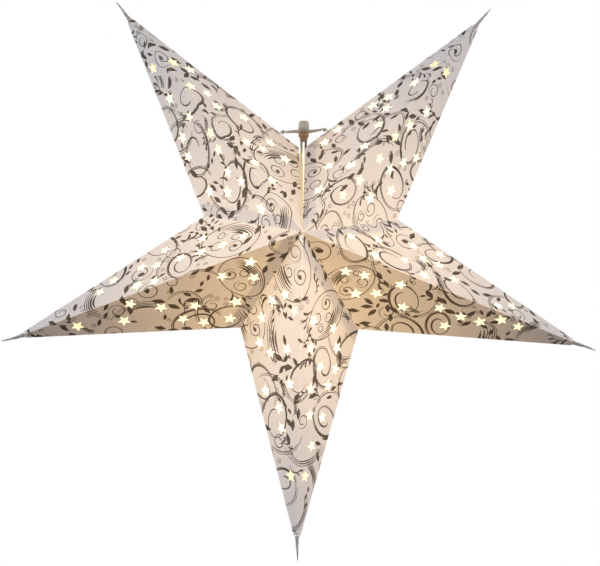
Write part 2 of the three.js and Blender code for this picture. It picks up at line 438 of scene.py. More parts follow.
def eyed_spiral(rng, size):
    """A thin spiral, radius size times (1 - 0.62 s), closing on a big dark eye."""
    s = steps(60)
    angle = 2 * np.pi * 1.3 * s
    line = size * (1 - 0.62 * s) * np.exp(1j * angle)
    marks = [stroke(line, (0.38 + 0.34 * s) * thin_ends(s, 0.3))]
    t = steps(14)
    eye = 0.21 * size
    radial = line[-1] / abs(line[-1])
    place = line[-1] - 1.15 * eye * radial
    marks.append(stroke(place + 1j * radial * eye * 2.7 * (t - 0.5), eye * thin_ends(t, 0.55)))
    return marks


def curl(rng, size):
    """An open C-shaped spiral of one and a quarter turns."""
    s = steps(44)
    line = size * (1 - 0.6 * s) * np.exp(2j * np.pi * 1.25 * s)
    return [stroke(line, (0.40 + 0.25 * s) * thin_ends(s, 0.3))]


def comma_fan(rng, size, count=None):
    """Three to five fat commas that spread from one root, each shorter than the last."""
    count = count or rng.integers(3, 6)
    bend = rng.choice([-1, 1]) * 0.75
    marks = []
    for i in range(count):
        turn = np.exp(1j * (0.46 * (i - count / 2)))
        length = size * (1 - 0.15 * i)
        marks += comma((0.5 * size + length) * turn, -turn, length, 0.25 * length, bend)
    return marks


def leafy_stem(rng, size):
    """An S-shaped double stem with leaves in pairs along it."""
    s = steps(40)
    line = size * (2 * s - 1) * np.exp(0.8j * (2 * s - 1) * rng.choice([-1, 1]))
    way = np.gradient(line) / abs(np.gradient(line))
    marks = [stroke(line, 0.55 * thin_ends(s, 0.3)),
             stroke(line + 2.0j * way, 0.34 * thin_ends(s, 0.4))]
    for at in range(5, 38, 8):
        side = 1 if (at // 8) % 2 else -1
        outward = way[at] * np.exp(0.75j * side)
        marks += leaf(line[at] + 1.4j * side * way[at], outward, rng.uniform(9.5, 12), 4.4)
    return marks


def wheat(rng, size):
    """A curved stalk with pairs of small grains towards its end."""
    s = steps(24)
    line = size * s * np.exp(0.9j * s)
    way = np.gradient(line) / abs(np.gradient(line))
    marks = [stroke(line, 0.34 * thin_ends(s, 0.4))]
    for at in range(8, 24, 3):
        for side in (-1, 1):
            marks += comma(line[at] + 3.2 * way[at] * np.exp(0.7j * side),
                           -way[at] * np.exp(0.7j * side), 3.2, 1.5, 0.2)
    return marks


def bundle(rng, size, lines=None, bow=None):
    """Nested arcs like combed hair: three thin lines outside, then up to two swollen bars
    further in."""
    s = steps(44)
    marks = []
    bow = bow or rng.uniform(0.9, 1.35)
    lines = lines or rng.integers(3, 6)
    for i, inset in enumerate((0.0, 0.085, 0.165, 0.265, 0.385)[:lines]):
        angle = bow * (2 * s - 1) * (1 - 0.10 * i) + 0.10 * i
        line = size * (1 - inset) * (np.cos(angle) + 1.28j * np.sin(angle))
        swollen = 0.40 + 0.12 * i if i < 3 else 0.40 + 0.032 * size
        marks.append(stroke(line - 0.2 * size, swollen * thin_ends(s, 0.6 if i < 3 else 1.3)))
    return marks


def medallion(rng, size):
    """The largest figure: an egg of a line with combed arcs down one side, an eyed spiral and
    curls inside, and a fan of commas at its foot."""
    s = steps(90)
    angle = 2 * np.pi * s
    egg = size * (0.76 * np.cos(angle) * (1 + 0.13 * np.sin(angle)) + 1j * np.sin(angle))
    marks = [stroke(egg, (0.46 + 0.3 * np.cos(angle / 2) ** 2) * thin_ends(s, 0.25))]
    marks += bundle(rng, size * 0.80, 5, 1.15)
    for motif, place, scale in ((eyed_spiral, -0.30 + 0.34j, 0.30), (curl, 0.16 + 0.12j, 0.22),
                                (curl, -0.26 - 0.34j, 0.27), (curl, 0.2 - 0.42j, 0.18)):
        turn = np.exp(1j * rng.uniform(0, 6))
        marks += [(size * place + turn * line, left, right)
                  for line, left, right in motif(rng, size * scale)]
    foot = np.exp(-2.0j)
    marks += [(size * 0.66 * foot + foot * line, left, right)
              for line, left, right in comma_fan(rng, size * 0.46, 4)]
    return marks


def ringlet(rng, size):
    """A little open ring with a dot in it."""
    s = steps(22)
    line = size * (1 - 0.42 * s) * np.exp(2j * np.pi * (1.15 * s))
    return [stroke(line, 0.30 * thin_ends(s, 0.3))] + dot(0.0, 0.25 * size)


def leaf_row(rng, size):
    """Two or three leaves that follow each other."""
    marks = []
    for i in range(rng.integers(2, 4)):
        place = 1.15 * size * (i - 1) + 0.3j * size * (i % 2)
        marks += leaf(place, np.exp(1j * rng.uniform(-0.5, 0.5)), 1.1 * size, 0.42 * size)
    return marks


print("ten motifs")

# %% [markdown]
# ## Where the marks fall
# An arm is cut from one flat blank. Seen from the tip its four facets open like a fan: half of
# the front on either side of the front ridge, and then half of the back. The print is laid out
# on that fan, big motifs first and small ones in the gaps, so it runs across the creases as it
# does on a real sheet. Medallions stand in the wide part near the hub. Points are drawn at
# random, from a fixed seed, and kept where they clear all earlier ones.

# %% Lay out one arm's print
MEDALLION, LARGE, MEDIUM, SMALL = range(4)
MOTIFS = {
    MEDALLION: ((medallion, 31),),
    LARGE: ((loop, 26), (loop, 21), (eyed_spiral, 15), (bundle, 28), (loop, 24), (leafy_stem, 26)),
    MEDIUM: ((comma_fan, 12), (leaf_row, 12.5), (curl, 8.5), (wheat, 14), (leaf_row, 11)),
    SMALL: ((ringlet, 2.9), (ringlet, 2.3), (leaf_row, 7.5), (ringlet, 2.5)),
}
CLEARANCE = {MEDALLION: 29, LARGE: 16.0, MEDIUM: 6.6, SMALL: 3.2}
TRIES = {MEDALLION: 60, LARGE: 700, MEDIUM: 1700, SMALL: 3000}
INNERMOST = {MEDALLION: 215, LARGE: 12, MEDIUM: 12, SMALL: 12}
HUB_CLEAR = 9
TIP_SCALE, SCALE_RUN = 0.5, 260  # large motifs are half size at the tip, and grow with radius
NEAR_FACET = 2
blank_length = facets[0].length / MM


def scatter(rng, draw, clearance, tries, taken):
    """Random points, each kept if it stands clear of every circle (point, radius) taken."""
    kept = []
    for point in draw(rng, tries):
        if not taken or min(abs(point - p) - r for p, r in taken) > clearance:
            taken.append((point, clearance))
            kept.append(point)
    return kept


def on_blank(rng, count, innermost):
    """Random points on the fan: the radius goes with the square root, so they lie evenly."""
    radius = np.sqrt(rng.uniform(innermost ** 2, blank_length ** 2, count))
    return radius * np.exp(1j * rng.uniform(-2 * tip_angle, 2 * tip_angle, count))


def print_of_arm(seed):
    """All strokes of one arm, on its flat blank."""
    rng = np.random.default_rng(seed)
    taken, marks = [(blank_length, HUB_CLEAR)], []
    for kind, motifs in MOTIFS.items():
        places = scatter(rng, lambda rng, count: on_blank(rng, count, INNERMOST[kind]),
                         CLEARANCE[kind], TRIES[kind], taken)
        for place in places:
            motif, size = motifs[rng.integers(len(motifs))]
            size = size * rng.uniform(0.85, 1.15)
            if kind == LARGE:
                size *= min(1.0, TIP_SCALE + abs(place) / SCALE_RUN)
            turn = np.exp(1j * rng.uniform(0, 2 * np.pi))
            mirrored = rng.random() < 0.5
            for line, left, right in motif(rng, size):
                line = np.conj(line) if mirrored else line
                marks.append((place + turn * line, left, right))
    return marks


arm_prints = {arm: print_of_arm(11 + 7 * i) for i, arm in enumerate(ARMS)}
print("strokes per arm:", {arm: len(marks) for arm, marks in arm_prints.items()})


# %% Strokes to outlines, and the blank to one facet
PIECE_POINTS = 9


def outlines_of(line, left, right):
    """A stroke as short closed outlines, each a few points long, so that none crosses itself."""
    way = np.gradient(line)
    across = 1j * way / np.maximum(abs(way), 1e-9)
    edge_a, edge_b = line + across * left, line + across * right
    for start in range(0, len(line) - 1, PIECE_POINTS - 1):
        part = slice(start, start + PIECE_POINTS)
        yield np.concatenate([edge_a[part], edge_b[part][::-1]])


def to_facet(facet, points):
    """Points of the blank in a facet's own flat coordinates: the front's halves are mirror
    images of each other, and the back's are folded over the outline crease."""
    points = points if facet.turn > 0 else np.conj(points)
    if facet.side == "back":
        points = np.conj(points) * np.exp(2j * tip_angle)
    return points


def corners_of(facet):
    """A facet's corners in mm: tip, apex, notch."""
    return np.array([0, facet.length, complex(*facet.notch_flat)]) / MM


def side_ways(corner):
    """The direction of each side of a triangle: from tip to apex, to notch, to tip."""
    along = np.roll(corner, -1) - corner
    return along / abs(along)


def inset_triangle(facet, ridge, seam, outline):
    """A facet's corners in mm, after its three sides have moved inwards."""
    corner = corners_of(facet)
    along = side_ways(corner)
    start = corner + 1j * along * np.array([ridge, seam, outline])
    start_before, before = np.roll(start, 1), np.roll(along, 1)
    reach = (np.conj(along) * (start - start_before)).imag / (np.conj(along) * before).imag
    return start_before + before * reach


def to_sides(corner, points):
    """Each point's distance in mm to each side of a triangle, inside positive."""
    return (np.conj(side_ways(corner))[:, None] * (points - corner[:, None])).imag


STAR_SIZE = 6.6
STAR_NOTCH = 0.46
STAR_APART = 8.9
STARS_FROM, STARS_TO = 58, 262
STARS_EACH, STAR_TRIES = 12, 260
STAR_EDGE, STAR_SEAM_EDGE = 8.2, 13.12


def star_outline(place, size, turn):
    """A five-pointed star: ten corners, every other one drawn in towards the middle."""
    corner = np.arange(10)
    radius = size * np.where(corner % 2, STAR_NOTCH, 1.0)
    return place + radius * np.exp(1j * (np.pi / 5 * corner + turn))


def stars_of(facet, rng):
    """The die-cut stars of one facet: even random spacing, clear of every crease."""
    corner = inset_triangle(facet, STAR_EDGE, STAR_SEAM_EDGE, STAR_EDGE)
    taken, outlines = [], []

    def draw(rng, count):
        u = rng.uniform(STARS_FROM, STARS_TO, count)
        points = u + 1j * rng.uniform(0, corner.imag.max(), count)
        return points[to_sides(corner, points).min(0) > 0]

    for place in scatter(rng, draw, STAR_APART, STAR_TRIES, taken)[:STARS_EACH]:
        outlines.append(star_outline(place, STAR_SIZE * rng.uniform(0.92, 1.08),
                                     rng.uniform(0, 2 * np.pi)))
    return outlines


print("stars are", 2 * STAR_SIZE, "mm across")

# %% [markdown]
# ## Cutting a sheet
# A facet is a triangle of card whose sides stop just short of the creases. The outline, the star
# holes and every ink mark go into one constrained triangulation. Triangles inside a star are
# thrown away, and triangles inside a mark become ink, so print and holes have crisp edges at any
# distance. A sheet is then given its thickness, tapered to nothing at the creases so that
# neighbouring facets can fold flat on each other.

# %% Sheet cutting
CARD_THICKNESS = 0.3
LINER_THICKNESS = 0.15
LINER_DEPTH = 0.6
TAPER = 7.0
FAR = 99.0  # mm, further from a crease than any mark of wear or glue
ROW_STEP = 0.87  # between the grid's rows, so that its triangles are nearly equilateral
MERGE_WITHIN = 0.004


def cut_corners(corner, cuts):
    """The outline with each corner cut off, so many mm from the corner."""
    along = side_ways(corner)
    return np.stack([corner - np.roll(along, 1) * cuts, corner + along * cuts], 1).ravel()


def with_steps(outline, step):
    """The outline with points added so that none of its sides is longer than step."""
    sides = []
    for start, end in zip(outline, np.roll(outline, -1)):
        count = max(1, round(abs(end - start) / step))
        sides.append(start + (end - start) * np.arange(count) / count)
    return np.concatenate(sides)


def cut_sheet(outline, corner, holes, marks, spacing):
    """Cuts one sheet. Returns its flat points in mm, its triangles, and which ones are ink."""
    u, v = np.meshgrid(np.arange(corner.real.min(), corner.real.max(), spacing),
                       np.arange(0, corner.imag.max(), spacing * ROW_STEP))
    grid = (u + spacing / 2 * (np.arange(len(v)) % 2)[:, None] + 1j * v).ravel()
    grid = grid[to_sides(corner, grid).min(0) > spacing * 0.4]
    polygons = [with_steps(outline, spacing)] + holes + marks
    polygons = [p if (np.conj(p) * np.roll(p, -1)).imag.sum() > 0 else p[::-1] for p in polygons]
    starts = np.cumsum([0] + [len(p) for p in polygons])
    points = np.concatenate(polygons + [grid])
    loops = [list(range(a, b)) for a, b in zip(starts, starts[1:])]
    points, _, faces, _, _, owners = geometry.delaunay_2d_cdt(
        [Vector((p.real, p.imag)) for p in points], [], loops, 0, MERGE_WITHIN, True)
    hole_ids = range(1, 1 + len(holes))
    keep = [i for i, ids in enumerate(owners) if 0 in ids and not any(k in hole_ids for k in ids)]
    triangles = np.array([faces[i] for i in keep])
    ink = np.array([max(owners[i]) > len(holes) for i in keep])
    used, compact = np.unique(triangles, return_inverse=True)
    flat = np.array([points[i] for i in used])
    return flat[:, 0] + 1j * flat[:, 1], compact.reshape(-1, 3), ink


GLOBE = 17.5
lamp_low, lamp_high = (np.array(c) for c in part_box("bulb_glass"))
lamp_centre = np.append((lamp_low + lamp_high)[:2] / 2, lamp_low[2] + GLOBE * MM)
STRAIGHT_GLOW, STRAIGHT_AT = 0.15, 0.080
BOUNCED_GLOW, BOUNCED_HALF = 0.92, 0.205
DOWNWARD_SHARE = 0.22


def lamp_glow(points, normal):
    """Lamp light that reaches the paper: straight from the bulb it falls with the square of
    the distance and the slant, and the light that bounces round inside falls more gently.
    The bulb hangs cap upwards, so more of its light goes down than up."""
    ray = points - lamp_centre
    distance = np.linalg.norm(ray, axis=1)
    slant = abs(ray @ normal) / distance
    straight = STRAIGHT_GLOW * slant * (STRAIGHT_AT / distance) ** 2
    bounced = BOUNCED_GLOW / (1 + (distance / BOUNCED_HALF) ** 4)
    return (straight + bounced) * (1 - DOWNWARD_SHARE * ray[:, 2] / distance)


def sheet_piece(facet, name, flat, triangles, ink, depth, thickness, materials, slot, stands_for):
    """Lifts a cut sheet into space, gives it a thickness and makes it a piece."""
    metres = np.stack([flat.real, flat.imag], 1) * MM
    to_ridge, to_seam, to_outline = to_sides(corners_of(facet), flat)
    near = np.minimum(np.minimum(to_ridge, to_seam), to_outline)
    thick = thickness * MM * np.clip(near / TAPER, 0.0, 1)
    outer = facet.lift(metres, -depth * MM)
    points = np.concatenate([outer, outer - thick[:, None] * facet.normal])
    if facet.flip:
        triangles = triangles[:, ::-1]
    count = len(flat)
    walls = walls_between(triangles, count)
    faces = np.concatenate([triangles, triangles[:, ::-1] + count, walls])
    material_of_face = np.concatenate([ink, np.full(len(triangles) + len(walls), 2)])
    double = np.tile(np.arange(count), 2)
    glued = to_seam if facet.turn > 0 else to_seam + FAR
    values = {"glow": lamp_glow(points, facet.normal), "seam": glued[double],
              "ridge": to_ridge[double]}
    return add_piece(name, points, faces.tolist(), materials, facet.name, slot, stands_for,
                     material_of_face, values, smooth_below=50)


print("lamp centre", lamp_centre.round(4))

# %% [markdown]
# ## Paper, ink and liner
# The card is white and slightly fibrous, and lit from behind: it glows in proportion to the lamp
# light that reaches it. A band beside each seam is double, where the arms are glued, so it glows
# less. The ink is a grey brown with small pale specks, like ink dabbed on rough paper. The liner is
# seen through the stars; it glows with painted lamp light, much brighter than the card.

# %% Paper materials
LAMP_COLOUR = (0.50, 0.28, 0.092)
INSIDE_LIGHT = (0.95, 0.77, 0.44)
FLAP_WIDTH, FLAP_SHADE = 13.0, 0.42


def paper_relief(paper, fibre):
    """Cloudy unevenness and fine fibres, as a bump."""
    return paper.bump(paper.noise(70, 3, 0.6) * 0.7 + fibre * 0.3, 0.35, 0.55)


def glow_colour(paper, strength, clear=1.0, base_glow=0.0, lamp=LAMP_COLOUR):
    """The lamp's colour times the glow of each point, a little yellower where it is strong."""
    glow = paper.attribute("glow") * strength * clear + base_glow
    flap = paper.attribute("seam").above(FLAP_WIDTH + 1.0, FLAP_WIDTH - 1.0)
    glow = glow * (1 - flap * FLAP_SHADE)
    tint = paper.mix(glow.above(0.3, 1.1), lamp,
                     tuple(c * f for c, f in zip(lamp, (1.0, 1.08, 1.2))))
    return paper.mix(1.0, tint, glow, "MULTIPLY")


def card_paper(name, white, strength, base_glow=0.0, lamp=LAMP_COLOUR):
    """Plain or printed card, outside or inside: fibrous and mottled, and paler along the ridge,
    partly rubbed wear and partly a painted highlight. It glows with the lamp, less where it is thick."""
    paper = Material(name, roughness=0.86, specular_ior_level=0.25, emission_strength=1.0)
    fibre = paper.noise(1500, 2, 0.7)
    mottle = paper.noise(55, 3, 0.6)
    shade = paper.mix(fibre * 0.5 + mottle * 0.5, tuple(c * 0.90 for c in white), white)
    # Paler within a millimetre of the ridge: partly rubbed wear, partly a painted highlight on the
    # crease.
    ridge_wear_and_highlight = paper.attribute("ridge").above(0.9, 0.2)
    shade = paper.mix(ridge_wear_and_highlight * 0.25, shade, (0.86, 0.84, 0.81))
    clear = 0.86 + fibre * 0.14 + mottle * 0.16
    paper.feed(base_color=shade, normal=paper_relief(paper, fibre),
               emission_color=glow_colour(paper, strength, clear, base_glow, lamp))
    return paper


printed_white = card_paper("card_white", (0.73, 0.71, 0.74), 0.95)
card_inside = card_paper("card_inside", (0.74, 0.70, 0.66), 0.42, 0.24, INSIDE_LIGHT)

ink = Material("ink", roughness=0.75, specular_ior_level=0.3, emission_strength=1.0)
specks = ink.noise(900, 2, 0.7)
gaps = specks.above(0.54, 0.68)
ink.feed(base_color=ink.mix(gaps, (0.068, 0.050, 0.042), (0.27, 0.22, 0.19)),
         emission_color=glow_colour(ink, 0.22, 0.5 + gaps * 1.3),
         normal=ink.bump(specks, 0.10, 0.5))

liner_paper = Material("liner_paper", roughness=0.9, specular_ior_level=0.2,
                       emission_strength=1.0)
haze = liner_paper.noise(240, 3, 0.6)
# The liner's glow is painted lamp light: a fixed share plus a part of the lamp glow.
liner_glow = liner_paper.attribute("glow") * (0.85 + haze * 0.3) * 0.30 + 0.70
liner_paper.feed(emission_color=liner_paper.mix(1.0, (0.98, 0.95, 0.60), liner_glow, "MULTIPLY"),
                 base_color=liner_paper.mix(haze, (0.74, 0.70, 0.60), (0.84, 0.80, 0.70)),
                 normal=liner_paper.bump(haze, 0.2, 0.5))
print("four paper materials")

# %% [markdown]
# ## The twenty facets
# Each facet gets its stars and its part of the arm's print, and a plain liner sheet behind it.

# %% Cut all facets
EDGE_GAP = 0.04
BACK_RIDGE_GAP = 0.45
CORNER_CUTS = np.array([12.8, 0.3, 0.5])
CARD_GRID, LINER_GRID = 6.0, 9.0
LINER_INSETS = (18.0, 4.0, 4.0)
LINER_CUTS = np.array([4.0, 6.0, 3.0])
star_count = mark_count = triangle_count = 0
sheet_rng = np.random.default_rng(5)
for facet in facets:
    gap = EDGE_GAP if facet.side == "front" else BACK_RIDGE_GAP
    corner = inset_triangle(facet, gap, EDGE_GAP, EDGE_GAP)
    outline = cut_corners(corner, CORNER_CUTS)
    stars = stars_of(facet, sheet_rng)
    marks = []
    for line, left, right in arm_prints[facet.arm]:
        line = to_facet(facet, line)
        if to_sides(corner, line).min(0).max() > -NEAR_FACET:
            marks += [p for p in outlines_of(line, left, right)
                      if to_sides(corner, p).min(0).max() > 0]
    flat, triangles, inked = cut_sheet(outline, corner, stars, marks, CARD_GRID)
    sheet_piece(facet, facet.name + "_card", flat, triangles, inked, 0, CARD_THICKNESS,
                [printed_white, ink, card_inside], "printed_card", [facet.name])
    liner_corner = inset_triangle(facet, *LINER_INSETS)
    liner_outline = cut_corners(liner_corner, LINER_CUTS)
    flat_liner, liner_triangles, _ = cut_sheet(liner_outline, liner_corner, [], [], LINER_GRID)
    sheet_piece(facet, facet.name + "_liner_sheet", flat_liner, liner_triangles,
                np.zeros(len(liner_triangles), int), LINER_DEPTH, LINER_THICKNESS,
                [liner_paper] * 3, "liner_paper", [facet.name + "_liner"])
    star_count += len(stars)
    mark_count += len(marks)
    triangle_count += 2 * (len(triangles) + len(liner_triangles))
print(star_count, "stars,", mark_count, "ink outlines,", triangle_count, "triangles")

# %% [markdown]
# ## Turned pieces and tubes
# Lamp parts are profiles turned round the vertical axis, with an optional ripple for threads and
# grip ribs. Cords, leads and tails are sections swept along a path. Rows of the grid that shrink
# to a point are welded shut.


# %% Shape helpers
def grid_faces(rows, columns, closed_rows=False):
    """Quads of a grid whose columns go round; closed_rows also joins the last row to the first."""
    row = np.arange(rows if closed_rows else rows - 1)[:, None]
    column = np.arange(columns)[None, :]
    below, above = row * columns, (row + 1) % rows * columns
    right = (column + 1) % columns
    return np.stack([below + column, below + right, above + right, above + column], -1).reshape(-1, 4)


def weld(piece):
    """Merges points that coincide and turns every face outwards."""
    shape = bmesh.new()
    shape.from_mesh(piece.data)
    bmesh.ops.remove_doubles(shape, verts=shape.verts, dist=2e-6)
    bmesh.ops.dissolve_degenerate(shape, edges=shape.edges, dist=1e-7)
    bmesh.ops.recalc_face_normals(shape, faces=shape.faces)
    shape.to_mesh(piece.data)
    shape.free()
    return piece


def finely(profile, step):
    """The profile with points added so that no side is longer than step."""
    profile = np.array(profile, float)
    rows = []
    for start, end in zip(profile, profile[1:]):
        count = max(1, round(np.linalg.norm(end - start) / step))
        rows += [start + (end - start) * i / count for i in range(count)]
    return np.array(rows + [profile[-1]])


def turned(name, profile, material, body, slot, stands_for, centre=(0, 0), step=None, segments=64,
           ripple=None, smooth_below=35):
    """A profile of (radius, height) in mm, turned round a vertical axis. The ripple is an extra
    radius that depends on height, angle and radius."""
    profile = finely(profile, step) if step else np.array(profile, float)
    angle = np.arange(segments) * 2 * np.pi / segments
    radius, height = profile[:, :1] + 0 * angle, profile[:, 1:] + 0 * angle
    if ripple:
        radius = radius + ripple(height, angle + 0 * radius, radius) * (radius > 0.01)
    points = np.stack([centre[0] + radius * np.cos(angle), centre[1] + radius * np.sin(angle),
                       height], -1).reshape(-1, 3) * MM
    closed = profile[0, 0] > 0.01
    if closed and np.allclose(profile[0], profile[-1]):
        points, rows = points[:-segments], len(profile) - 1
    else:
        rows = len(profile)
    faces = grid_faces(rows, segments, closed)
    return weld(add_piece(name, points, faces.tolist(), [material], body, slot, stands_for,
                          smooth_below=smooth_below))


def swept(name, path, radius, material, body, slot, stands_for=(), up=(0, 0, 1), sides=16,
          closed=False, smooth_below=60):
    """A section swept along a path, both in mm. The radius depends on how far along (0 to 1) and
    on the angle; each ring is set square to the path, and the ends are closed."""
    path = np.asarray(path, float)
    if closed:
        way = np.roll(path, -1, 0) - np.roll(path, 1, 0)
    else:
        way = np.gradient(path, axis=0)
    way /= np.linalg.norm(way, axis=1)[:, None]
    side = np.cross(way, np.broadcast_to(up, path.shape))
    side /= np.linalg.norm(side, axis=1)[:, None]
    top = np.cross(side, way)
    angle = np.arange(sides) * 2 * np.pi / sides
    along = np.linspace(0, 1, len(path))[:, None]
    reach = radius(along, angle) + 0 * along * angle
    rings = (path[:, None] + reach[..., None] * (side[:, None] * np.cos(angle)[:, None]
                                                 + top[:, None] * np.sin(angle)[:, None]))
    if not closed:
        rings = np.concatenate([np.repeat(path[:1, None], sides, 1), rings,
                                np.repeat(path[-1:, None], sides, 1)])
    faces = grid_faces(len(rings), sides, closed)
    return weld(add_piece(name, rings.reshape(-1, 3) * MM, faces.tolist(), [material], body, slot,
                          stands_for, smooth_below=smooth_below))


def smooth_path(knots, count):
    """A smooth run through a few points: a Catmull-Rom curve sampled evenly in its parameter."""
    knots = np.asarray(knots, float)
    knots = np.concatenate([[2 * knots[0] - knots[1]], knots, [2 * knots[-1] - knots[-2]]])
    t = np.linspace(0, len(knots) - 3 - 1e-9, count)
    i, f = t.astype(int), (t % 1)[:, None]
    a, b, c, d = (knots[i + k] for k in range(4))
    return 0.5 * (2 * b + (c - a) * f + (2 * a - 5 * b + 4 * c - d) * f ** 2
                  + (3 * b - a - 3 * c + d) * f ** 3)


print("shape helpers ready")

# %% [markdown]
# ## Plastics, cord and metal
# The small parts are dull and used: moulded plastic with slight orange peel and dust, soft
# two-ply cord, wire insulation, and brass that has darkened a little.

# %% Small-part materials
def dull(name, colour, roughness, spread=0.12, grain=900, depth=0.05, **more):
    """A plain material with cloudy shade, uneven gloss and a fine surface grain."""
    material = Material(name, **more)
    cloud = material.noise(160, 3, 0.6)
    fine = material.noise(grain, 2, 0.6)
    material.feed(base_color=material.mix(cloud * 0.6 + fine * 0.4,
                                          tuple(c * (1 - spread) for c in colour),
                                          tuple(min(1, c * (1 + spread)) for c in colour)),
                  roughness=cloud * 0.25 + (roughness - 0.12),
                  normal=material.bump(fine, depth, 0.6))
    return material


grip_plastic = dull("grip_plastic", (0.64, 0.56, 0.46), 0.55)
brown_plastic = dull("brown_plastic", (0.42, 0.235, 0.13), 0.5)
cord_fibre = dull("cord_fibre", (0.62, 0.53, 0.44), 0.9, 0.25, 2500, 0.12)
tan_insulation = dull("tan_insulation", (0.42, 0.37, 0.26), 0.5)
brown_insulation = dull("brown_insulation", (0.26, 0.15, 0.09), 0.5)
holder_plastic = dull("holder_plastic", (0.66, 0.64, 0.59), 0.42)
brass_metal = dull("brass_metal", (0.72, 0.50, 0.24), 0.38, 0.2, 700, 0.03, metallic=1.0)
tungsten_metal = dull("tungsten_metal", (0.9, 0.75, 0.5), 0.5, 0.1, 900, 0.02,
                      emission_color=(1.0, 0.72, 0.35, 1), emission_strength=6.0)
bulb_frost = Material("bulb_frost", base_color=(0.70, 0.62, 0.48), emission_strength=0.42)
frost = bulb_frost.noise(500, 2, 0.6)
bulb_frost.feed(roughness=frost * 0.2 + 0.3, normal=bulb_frost.bump(frost, 0.05, 0.3),
                emission_color=bulb_frost.mix(frost, (1.0, 0.78, 0.45), (1.0, 0.86, 0.58)))
# The tails glow faintly warm: painted lamp light.
tail_paper = Material("tail_paper", roughness=0.88, emission_strength=1.0,
                      emission_color=(0.03, 0.017, 0.006))
# Where this noise is low the tail is dark grey: painted shade in the creases of the twist. The same
# noise gives the crease relief.
creased = tail_paper.noise(600, 3, 0.7)
tail_paper.feed(base_color=tail_paper.mix(creased.above(0.35, 0.6), (0.26, 0.23, 0.215),
                                          (0.68, 0.65, 0.63)),
                normal=tail_paper.bump(creased, 0.25, 0.8))
print("small-part materials ready")

# %% [markdown]
# ## Twisted tails
# Each arm ends in a wisp of paper, twisted round itself. Its section is a rounded square that
# turns as it goes, so the corners become helical ridges, and the whole wisp bends slightly.

# %% Tails
TAIL_FROM, TAIL_TO = 287.9, 312.0
TAIL_BODIES = {"bottom_arm": "lamp", "right_arm": "right_arm_front_upper",
               "left_arm": "left_arm_front_upper",
               "upper_right_arm": "upper_right_arm_front_inner",
               "upper_left_arm": "upper_left_arm_front_inner"}
for number, (arm, body) in enumerate(TAIL_BODIES.items()):
    tip = next(f.tip for f in facets if f.arm == arm)
    outward = unit(tip - hub)
    sideways = np.cross(outward, (0, 1, 0))
    s = np.linspace(0, 1, 40)
    reach = TAIL_FROM + (TAIL_TO - TAIL_FROM) * s
    bend = 1.1 * np.sin(2.4 * s + number) * s ** 1.5
    path = (hub / MM + outward * reach[:, None] + sideways * bend[:, None]
            + np.array([0, 0.8, 0]) * (s ** 2)[:, None] * math.cos(2.1 * number))
    swept(f"{arm}_twisted_tail", path,
          lambda s, angle: (2.2 - 1.8 * s ** 0.75) * (1 + 0.13 * np.cos(4 * angle - 17 * s)),
          tail_paper, body, "twisted_paper", [f"{arm}_tail"], up=(0, 1, 0), sides=24)
print("five tails from", TAIL_FROM, "to", TAIL_TO, "mm")

# %% [markdown]
# ## Closing edge and hub tab
# The star closes at the top, between the two upper arms. The left arm's edge reaches into the
# gap as a narrow lip, front and back, and the lamp shines through it. A small rounded paper tab
# is glued just below the front apex.


# %% Lips and tab
def flat_strip(name, rows, normal, thickness, material, body, slot):
    """A thin strip: rows of points in space (rows, across, 3) in metres, thickened inwards."""
    count, across = rows.shape[:2]
    cell = np.arange(count * across).reshape(count, across)
    a, b, c, d = cell[:-1, :-1], cell[1:, :-1], cell[1:, 1:], cell[:-1, 1:]
    triangles = np.concatenate([np.stack([a, b, c], -1).reshape(-1, 3),
                                np.stack([a, c, d], -1).reshape(-1, 3)])
    points = rows.reshape(-1, 3)
    corner = points[triangles[0]]
    if np.cross(corner[1] - corner[0], corner[2] - corner[0]) @ normal < 0:
        triangles = triangles[:, ::-1]
    both = np.concatenate([points, points - normal * thickness * MM])
    faces = np.concatenate([triangles, triangles[:, ::-1] + len(points),
                            walls_between(triangles, len(points))])
    glow = lamp_glow(both, normal)
    far = np.full(len(both), FAR)
    return add_piece(name, both, faces.tolist(), [material], body, slot,
                     values={"glow": glow, "seam": far, "ridge": far})


# The lip is the same white card; its golden tan base colour is painted lamp light from the bulb close
# by.
lip_paper = card_paper("lip_paper", (0.64, 0.48, 0.32), 0.34, 0.16, (1.0, 0.70, 0.36))
tab_paper = card_paper("tab_paper", (0.86, 0.84, 0.84), 0.95, 0.05, (0.43, 0.38, 0.36))
for side in ("front", "back"):
    left, right = (facet_named[f"upper_{hand}_arm_{side}_inner"] for hand in ("left", "right"))
    normal = unit(np.cross(left.notch - left.apex, right.notch - left.apex))
    normal = normal if normal @ (left.apex - hub) > 0 else -normal
    s = np.linspace(0.03, 0.90, 60)[:, None, None]
    across = np.array([0.02, 0.40, 0.78])[None, :, None] * (1 - 0.35 * s ** 6)
    edge = left.apex + (left.notch - left.apex) * s
    other = right.apex + (right.notch - right.apex) * s
    flat_strip(f"closing_lip_{side}", edge + (other - edge) * across, normal, 0.25, lip_paper,
               left.name, "printed_card")

tab_facet = facet_named["bottom_arm_front_left"]
s = np.linspace(0, 1, 16)[:, None, None]
across = np.linspace(0.02, 1, 7)[None, :, None]
width = 3.3 * np.minimum(1, 3.2 * (1.02 - s)) ** 0.5 * np.minimum(1, 0.15 + 2.2 * s)
rows = (tab_facet.apex - tab_facet.ridge * (2.6 + 7.0 * s) * MM
        + tab_facet.across * (0.25 + across * width) * MM
        + tab_facet.normal * (0.08 + 0.05 * np.sin(np.pi * s)) * MM)
flat_strip("hub_tab", rows, tab_facet.normal, 0.06, tab_paper, tab_facet.name, "printed_card")
print("two lips and a hub tab")

